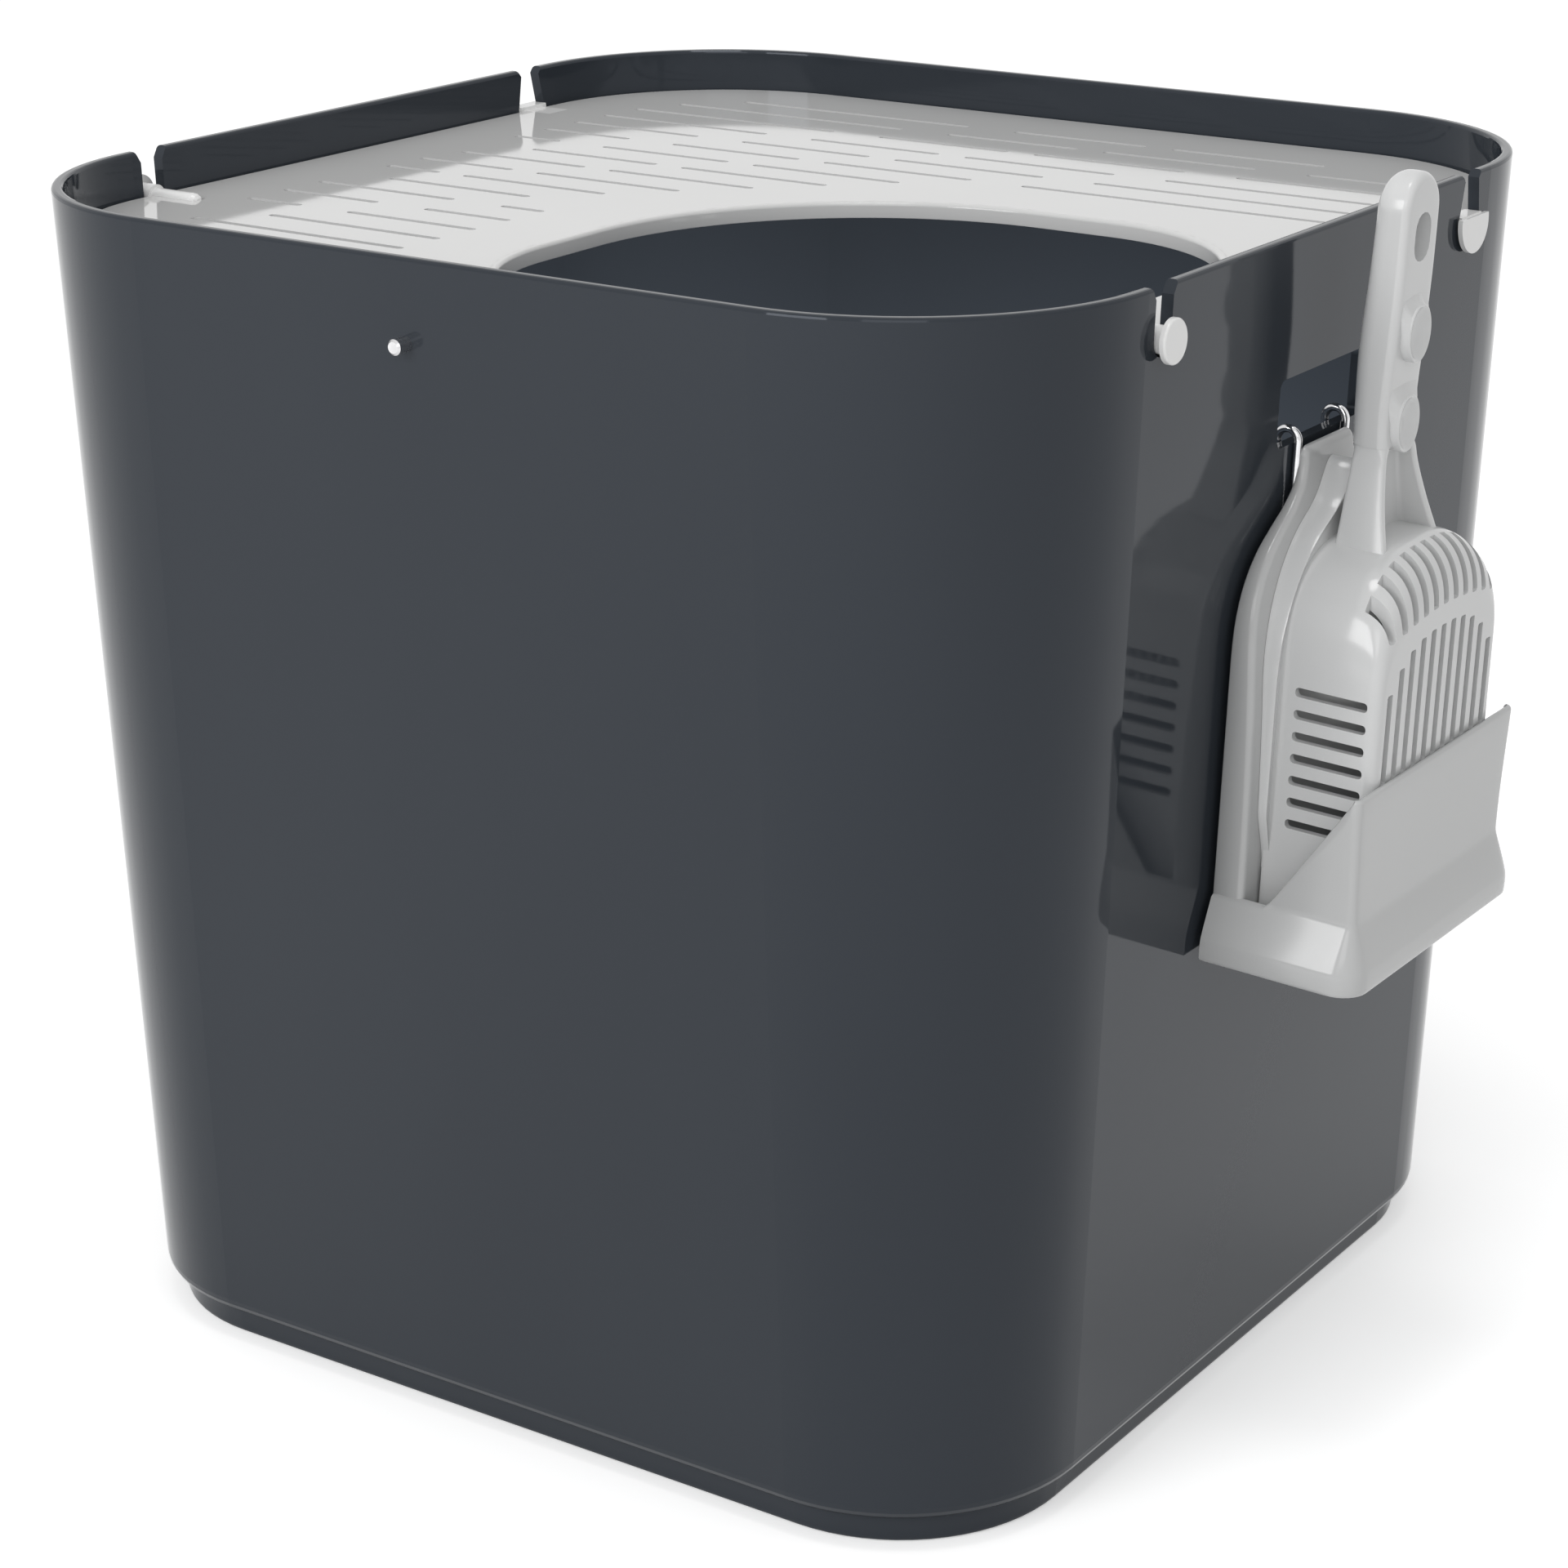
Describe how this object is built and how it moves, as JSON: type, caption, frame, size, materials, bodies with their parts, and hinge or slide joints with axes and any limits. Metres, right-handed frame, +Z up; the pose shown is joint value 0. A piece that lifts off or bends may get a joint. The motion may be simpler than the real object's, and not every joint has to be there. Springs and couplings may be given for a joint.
{
  "type": "top entry litter box",
  "caption": "Tall rounded-square litter tub with a slotted grey lid that swings up at its back edge, a round-cornered entry hole in the lid, and a scoop in a holder hooked on the side.",
  "frame": {"origin": "middle of the tub's base, on the surface that it stands on", "axes": "+Z up, -Y toward the front wall with the stud, +X toward the wall that carries the scoop"},
  "size_m": [0.4511, 0.4048, 0.4173],
  "materials": {
    "tub_plastic": "smooth satin, fine moulded grain",
    "lid_plastic": "smooth semi-gloss",
    "lug_plastic": "smooth semi-gloss",
    "stud_metal": "polished",
    "holder_plastic": "smooth semi-gloss",
    "hook_wire": "polished",
    "scoop_plastic": "smooth semi-gloss"
  },
  "bodies": {
    "tub": {"bucket": "tub_plastic", "front_stud": "stud_metal"},
    "lid": {"lid": "lid_plastic", "entry_rim": "lid_plastic", "lock_lug_left": "lug_plastic", "lock_lug_right": "lug_plastic", "hinge_lug_left": "lug_plastic", "hinge_lug_right": "lug_plastic"},
    "holder": {"scoop_holder": "holder_plastic", "hook_front": "hook_wire", "hook_rear": "hook_wire"},
    "scoop": {"scoop": "scoop_plastic"}
  },
  "joints": [
    {"name": "lid_hinge", "type": "hinge", "parent": "tub", "child": "lid", "pos_m": [0, 0.1024, 0.3816], "axis": [-1, 0, 0], "range_deg": [0, 100]},
    {"name": "holder_lift", "type": "slide", "parent": "tub", "child": "holder", "axis": [0.0436, 0, 0.999], "range_m": [0, 0.013]},
    {"name": "scoop_lift", "type": "slide", "parent": "holder", "child": "scoop", "axis": [0.0436, 0, 0.999], "range_m": [0, 0.24]}
  ]
}
